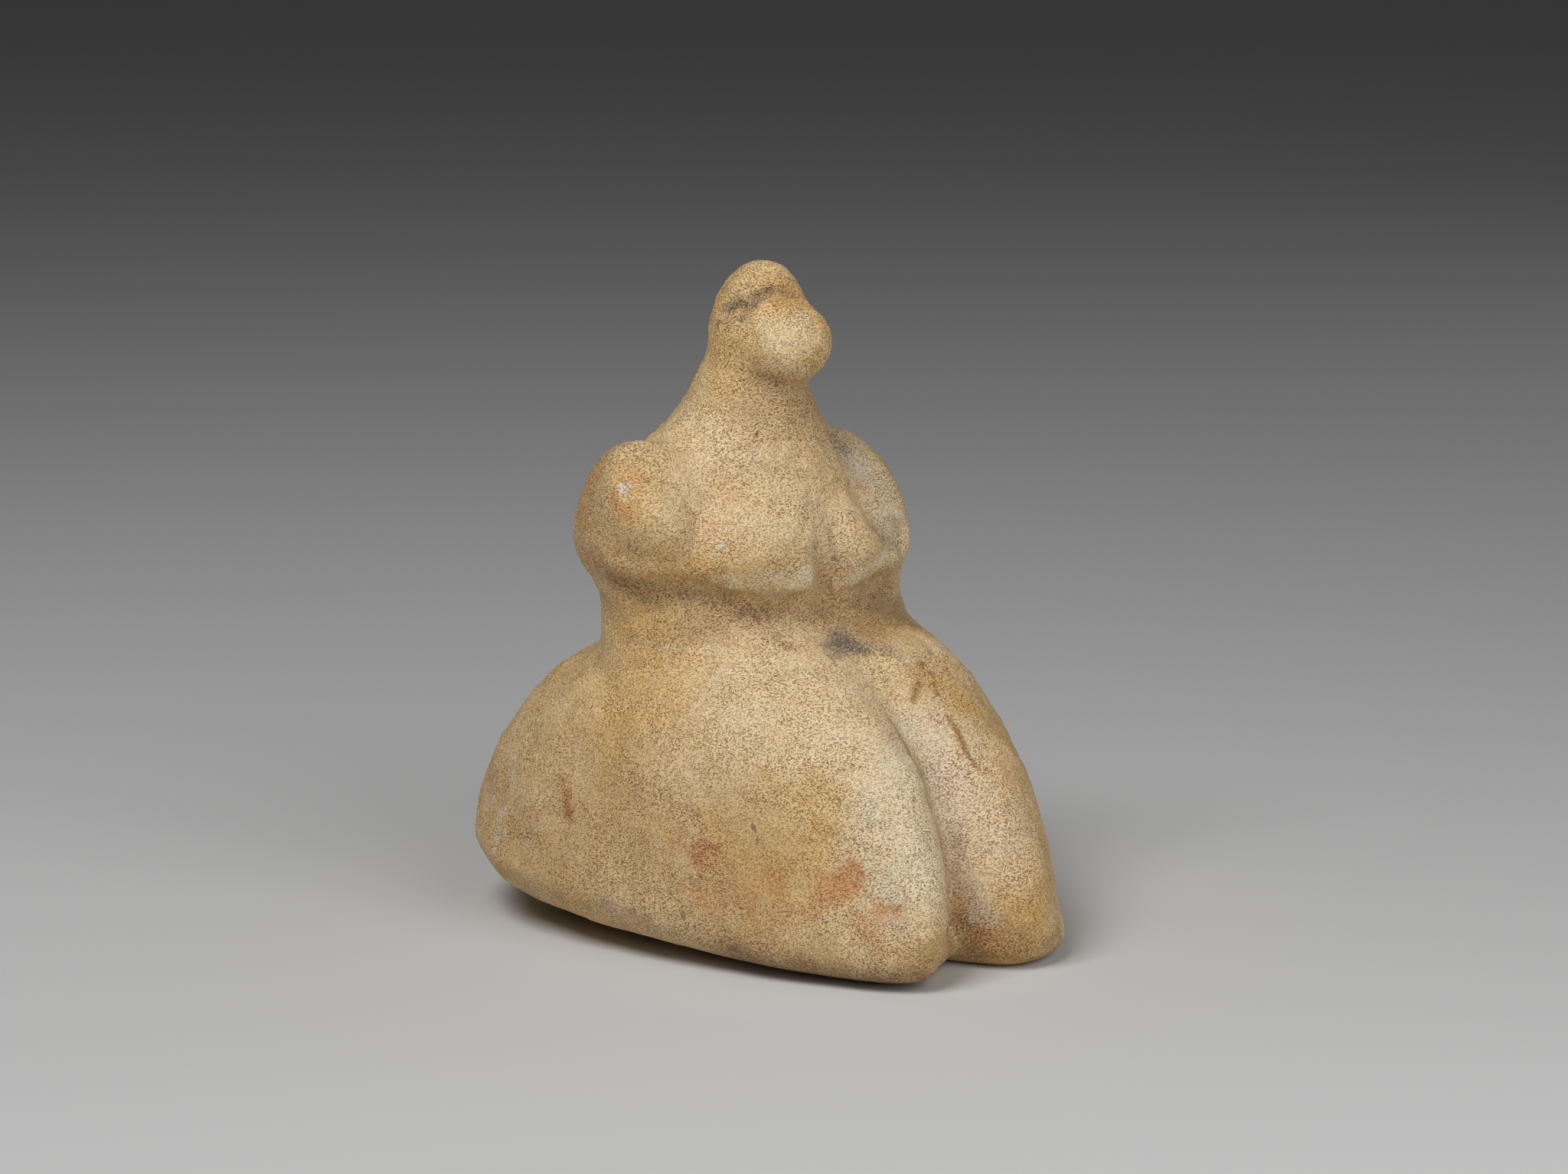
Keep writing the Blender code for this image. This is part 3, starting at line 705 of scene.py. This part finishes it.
def closed_mesh(name, rings):
    """A mesh of square faces over a stack of rings, closed by a fan at each end."""
    rows, columns = rings.shape[0] - 2, rings.shape[1]
    ring = np.arange(rows * columns).reshape(rows, columns) + 1
    after = np.roll(ring, -1, axis=1)
    last = rows * columns + 1
    squares = np.stack([ring[:-1], after[:-1], after[1:], ring[1:]], axis=-1).reshape(-1, 4)
    first_fan = np.stack([np.zeros(columns, int), after[0], ring[0]], axis=-1)
    last_fan = np.stack([np.full(columns, last), ring[-1], after[-1]], axis=-1)
    points = np.concatenate([rings[:1, 0], rings[1:-1].reshape(-1, 3), rings[-1:, 0]])
    corners = np.concatenate([first_fan.ravel(), squares.ravel(), last_fan.ravel()])
    sides = np.concatenate([np.full(columns, 3), np.full(len(squares), 4), np.full(columns, 3)])
    mesh = bpy.data.meshes.new(name)
    mesh.vertices.add(len(points))
    mesh.loops.add(len(corners))
    mesh.polygons.add(len(sides))
    mesh.vertices.foreach_set("co", points.astype(np.float32).ravel())
    mesh.loops.foreach_set("vertex_index", corners.astype(np.int32))
    mesh.polygons.foreach_set("loop_start", (np.cumsum(sides) - sides).astype(np.int32))
    mesh.update(calc_edges=True)
    mesh.validate()
    mesh.shade_smooth()
    return mesh


def add_attribute(mesh, name, rings):
    """Stores one number, or one vector, per point of a closed mesh of rings."""
    values = np.concatenate([rings[:1, 0], np.concatenate(rings[1:-1]), rings[-1:, 0]])
    kind, field = ("FLOAT", "value") if values.ndim == 1 else ("FLOAT_VECTOR", "vector")
    made = mesh.attributes.new(name, kind, "POINT")
    made.data.foreach_set(field, values.astype(np.float32).ravel())


class Shading:
    """Adds nodes to one node tree. A socket given as an input is linked, and a value is set."""

    def __init__(self, tree):
        self.tree = tree

    def node(self, kind, inputs, **settings):
        """A node of any kind."""
        made = self.tree.nodes.new(kind)
        for name, value in settings.items():
            setattr(made, name, value)
        for name, value in inputs.items():
            if isinstance(value, bpy.types.NodeSocket):
                self.tree.links.new(value, made.inputs[name])
            else:
                made.inputs[name].default_value = value
        return made

    def maths(self, operation, *values):
        """Sum, product or other measure of numbers."""
        inputs = dict(enumerate(values))
        return self.node("ShaderNodeMath", inputs, operation=operation).outputs[0]

    def vector(self, operation, inputs):
        """Sum, product or other measure of vectors."""
        return self.node("ShaderNodeVectorMath", inputs, operation=operation).outputs[0]

    def stored(self, name, result="Fac"):
        """A value stored at the points of the mesh."""
        return self.node("ShaderNodeAttribute", {}, attribute_name=name).outputs[result]

    def noise(self, place, rate, detail=2.0, roughness=0.5, distortion=0.0):
        """Chance value from 0 to 1 that changes smoothly from place to place."""
        inputs = {"Vector": place, "Scale": rate, "Detail": detail, "Roughness": roughness,
                  "Distortion": distortion}
        return self.node("ShaderNodeTexNoise", inputs).outputs["Fac"]

    def ramp(self, value, low, high, to_low=0.0, to_high=1.0):
        """Smooth step of a value from one range to another."""
        inputs = {"Value": value, "From Min": low, "From Max": high, "To Min": to_low,
                  "To Max": to_high}
        made = self.node("ShaderNodeMapRange", inputs, interpolation_type="SMOOTHSTEP")
        return made.outputs[0]

    def mix(self, factor, first, second, way="MIX"):
        """Blend of two colours."""
        inputs = {"Factor": factor}
        made = self.node("ShaderNodeMix", inputs, data_type="RGBA", blend_type=way)
        for socket, value in ((made.inputs[6], first), (made.inputs[7], second)):
            if isinstance(value, bpy.types.NodeSocket):
                self.tree.links.new(value, socket)
            else:
                socket.default_value = (*value, 1)
        return made.outputs[2]


def grain_mask(shade, place, size):
    """Short curling dashes, longer on the level than upright.

    They lie where one noise crosses its middle, another noise breaks them up, and a broad one
    makes them fainter in places.
    """
    place = shade.vector("MULTIPLY", {0: place, 1: GRAIN_STRETCH})
    rate = 1 / size
    bends = shade.noise(place, rate, detail=2, roughness=0.6, distortion=0.5)
    off_middle = shade.maths("ABSOLUTE", shade.maths("SUBTRACT", bends, 0.5))
    line = shade.ramp(off_middle, 0.035, 0.1, to_low=1, to_high=0)
    breaks = shade.ramp(shade.noise(place, rate * 1.3, detail=1), 0.44, 0.56)
    crowd = shade.noise(place, CROWD_RATE, detail=3)
    crowd = shade.ramp(crowd, 0.3, 0.66, to_low=0.65, to_high=1)
    return shade.maths("MULTIPLY", shade.maths("MULTIPLY", line, breaks), crowd)


def tinted(shade, ground, in_units):
    """The ground with every mark laid over it, tint by tint, each with frayed edges.

    A mark shows, by its strength, where its reach plus its raggedness times a fine noise is
    above zero.
    """
    fray = shade.noise(in_units, FRAY_RATE, detail=6, roughness=0.75)
    fray = shade.maths("MULTIPLY", shade.maths("SUBTRACT", fray, 0.5), FRAY_DEPTH)
    for tint, tone in TINTS.items():
        mark = shade.node("ShaderNodeSeparateXYZ", {"Vector": shade.stored(tint, "Vector")})
        reach, raggedness, strength = mark.outputs
        reach = shade.maths("MULTIPLY_ADD", fray, raggedness, reach)
        mask = shade.maths("MULTIPLY", shade.ramp(reach, -1, 1), strength)
        ground = shade.mix(mask, ground, paint(*tone))
    return ground


def marble(look):
    """Honey-cream marble: clouded ground, marks, earth and painted shade in hollows, worn ridges
    and grain.
    """
    material = bpy.data.materials.new("marble")
    material.use_nodes = True
    shade = Shading(material.node_tree)
    place = shade.node("ShaderNodeTexCoord", {}).outputs["Object"]
    in_units = shade.vector("SCALE", {0: place, "Scale": 1 / UNIT})
    tan = paint(*TINTS["tan"])
    pale = paint(*TINTS["pale"])

    clouds = shade.ramp(shade.noise(place, CLOUD_RATE, detail=5, roughness=0.6), 0.26, 0.74)
    mottle = shade.noise(place, MOTTLE_RATE, detail=4, roughness=0.65)
    crystals = shade.noise(place, CRYSTAL_RATE, detail=2, roughness=0.7)
    # Earth and painted shade, darkest in the hollows and creases
    soil_and_shade = shade.ramp(shade.noise(place, SOIL_AND_SHADE_RATE, detail=4), 0.25, 0.75)
    soil_and_shade = shade.maths("MULTIPLY", shade.ramp(shade.stored("hollow"), 0.05, 0.6), soil_and_shade)
    worn = shade.ramp(shade.stored("ridge"), 0.1, 0.6)
    grain = grain_mask(shade, place, look.grain_size)

    ground = shade.mix(clouds, tuple(look.cream), tuple(look.honey))
    ground = shade.mix(shade.ramp(mottle, 0.48, 0.72, to_high=MOTTLE_SHARE), ground, tan)
    ground = tinted(shade, ground, in_units)
    ground = shade.mix(shade.maths("MULTIPLY", soil_and_shade, SOIL_AND_SHADE_SHARE), ground, tuple(look.dirt_and_shade))
    ground = shade.mix(shade.maths("MULTIPLY", worn, WORN_SHARE), ground, pale)
    ground = shade.mix(shade.ramp(crystals, 0.48, 0.66, to_high=CRYSTAL_SHARE), ground, pale)
    shown = shade.maths("MULTIPLY", grain, look.grain_strength)
    ground = shade.mix(shown, ground, tuple(look.grain), "MULTIPLY")

    gloss = shade.noise(place, GLOSS_RATE, detail=4)
    gloss = shade.ramp(gloss, 0.3, 0.7, to_low=0.4, to_high=0.55)
    gloss = shade.maths("ADD", gloss, shade.maths("MULTIPLY", grain, 0.12))
    height = shade.maths("SUBTRACT", shade.maths("MULTIPLY", crystals, 0.5),
                         shade.maths("MULTIPLY", grain, 0.6))
    height = shade.maths("ADD", height, shade.maths("MULTIPLY", mottle, 0.9))
    bump = shade.node("ShaderNodeBump", {"Strength": 1.0, "Distance": look.relief,
                                         "Height": height}).outputs[0]
    shader = material.node_tree.nodes["Principled BSDF"]
    shade.tree.links.new(ground, shader.inputs["Base Color"])
    shade.tree.links.new(gloss, shader.inputs["Roughness"])
    shade.tree.links.new(bump, shader.inputs["Normal"])
    shader.inputs["Metallic"].default_value = 0.0
    shader.inputs["Specular IOR Level"].default_value = 0.4
    shader.inputs["Subsurface Weight"].default_value = SUNK_LIGHT
    shader.inputs["Subsurface Radius"].default_value = SUNK_REACH
    shader.inputs["Subsurface Scale"].default_value = SUNK_UNIT
    return material


def show(name, mesh):
    """A new object of this mesh, in the scene."""
    made = bpy.data.objects.new(name, mesh)
    bpy.context.scene.collection.objects.link(made)
    return made


class FIGURINE_OT_carve(bpy.types.Operator):
    """Carve the figurine and finish its marble"""

    bl_idname = "figurine.carve"
    bl_label = "Carve the figurine"
    bl_options = {"REGISTER", "UNDO"}

    def execute(self, context):
        form = context.scene.figurine_form
        points, values = figurine_points(form)
        mesh = closed_mesh("carved_figurine", points * UNIT)
        for name, rings in values.items():
            add_attribute(mesh, name, rings)
        mesh.materials.append(marble(context.scene.marble_look))
        piece = show("carved_figurine", mesh)
        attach(piece, "root")
        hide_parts("figurine")
        return {"FINISHED"}


def floor_material(look):
    """Even pale grey with no sheen."""
    material = bpy.data.materials.new("studio_floor")
    material.use_nodes = True
    shader = material.node_tree.nodes["Principled BSDF"]
    shader.inputs["Base Color"].default_value = (*look.floor, 1)
    shader.inputs["Roughness"].default_value = 0.9
    shader.inputs["Specular IOR Level"].default_value = 0.1
    return material


def floor_mesh(size):
    """A flat square round the origin, on the ground."""
    half = size / 2
    mesh = bpy.data.meshes.new("studio_floor")
    corners = [(-half, -half, 0), (half, -half, 0), (half, half, 0), (-half, half, 0)]
    mesh.from_pydata(corners, [], [(0, 1, 2, 3)])
    return mesh


def view_axes():
    """Unit vectors to the camera's right and level towards it."""
    azimuth = np.radians(CAMERA_AZIMUTH)
    right = Vector((np.cos(azimuth), np.sin(azimuth), 0))
    towards = Vector((np.sin(azimuth), -np.cos(azimuth), 0))
    return right, towards


def aimed(name, data, place, target):
    """A new object at a place, looking at a target."""
    made = show(name, data)
    made.location = place
    made.rotation_euler = (target - place).to_track_quat("-Z", "Y").to_euler()
    return made


def room(strength):
    """A world of even white light."""
    world = bpy.data.worlds.new("room")
    world.use_nodes = True
    light = world.node_tree.nodes["Background"]
    light.inputs["Color"].default_value = (1, 1, 1, 1)
    light.inputs["Strength"].default_value = strength
    return world


class FIGURINE_OT_stage(bpy.types.Operator):
    """Set the floor, the lights and the camera"""

    bl_idname = "figurine.stage"
    bl_label = "Set the studio"
    bl_options = {"REGISTER", "UNDO"}

    def execute(self, context):
        scene = context.scene
        look = scene.studio_look
        floor = show("studio_floor", floor_mesh(look.floor_size))
        floor.data.materials.append(floor_material(look))
        right, towards = view_axes()
        middle = Vector((0, 0, HEIGHT / 2))
        for name, ((sideways, nearer, up), power) in SOFTBOXES.items():
            light = bpy.data.lights.new(name, "AREA")
            light.size = SOFTBOX_SIDE
            light.energy = power
            place = right * sideways + towards * nearer + Vector((0, 0, up))
            aimed(name, light, place, middle)
        scene.world = room(look.room)
        camera = bpy.data.cameras.new("camera")
        camera.lens = CAMERA_LENS
        camera.clip_start = 0.05
        target = (Vector((0, 0, AIM_LEVEL)) + right * AIM_SIDEWAYS) * UNIT
        rise = np.radians(CAMERA_ELEVATION)
        away = towards * np.cos(rise) + Vector((0, 0, np.sin(rise)))
        scene.camera = aimed("camera", camera, target + away * CAMERA_DISTANCE * UNIT, target)
        scene.view_settings.view_transform = "Standard"
        return {"FINISHED"}


class FIGURINE_PT_panel(bpy.types.Panel):
    """Lists what makes the figurine and its studio"""

    bl_idname = "FIGURINE_PT_panel"
    bl_label = "Marble figurine"
    bl_space_type = "VIEW_3D"
    bl_region_type = "UI"
    bl_category = "Figurine"

    def draw(self, context):
        layout = self.layout
        for operator, group in (
            (FIGURINE_OT_carve, context.scene.figurine_form),
            (None, context.scene.marble_look),
            (FIGURINE_OT_stage, context.scene.studio_look),
        ):
            if operator:
                layout.operator(operator.bl_idname)
            for name in group.__annotations__:
                layout.prop(group, name)


CLASSES = (
    FigurineForm,
    MarbleLook,
    StudioLook,
    FIGURINE_OT_carve,
    FIGURINE_OT_stage,
    FIGURINE_PT_panel,
)


def register():
    for cls in CLASSES:
        bpy.utils.register_class(cls)
    bpy.types.Scene.figurine_form = bpy.props.PointerProperty(type=FigurineForm)
    bpy.types.Scene.marble_look = bpy.props.PointerProperty(type=MarbleLook)
    bpy.types.Scene.studio_look = bpy.props.PointerProperty(type=StudioLook)


def unregister():
    del bpy.types.Scene.studio_look
    del bpy.types.Scene.marble_look
    del bpy.types.Scene.figurine_form
    for cls in reversed(CLASSES):
        bpy.utils.unregister_class(cls)


def main():
    register()
    bpy.ops.figurine.carve()
    bpy.ops.figurine.stage()


if __name__ == "__main__":
    main()
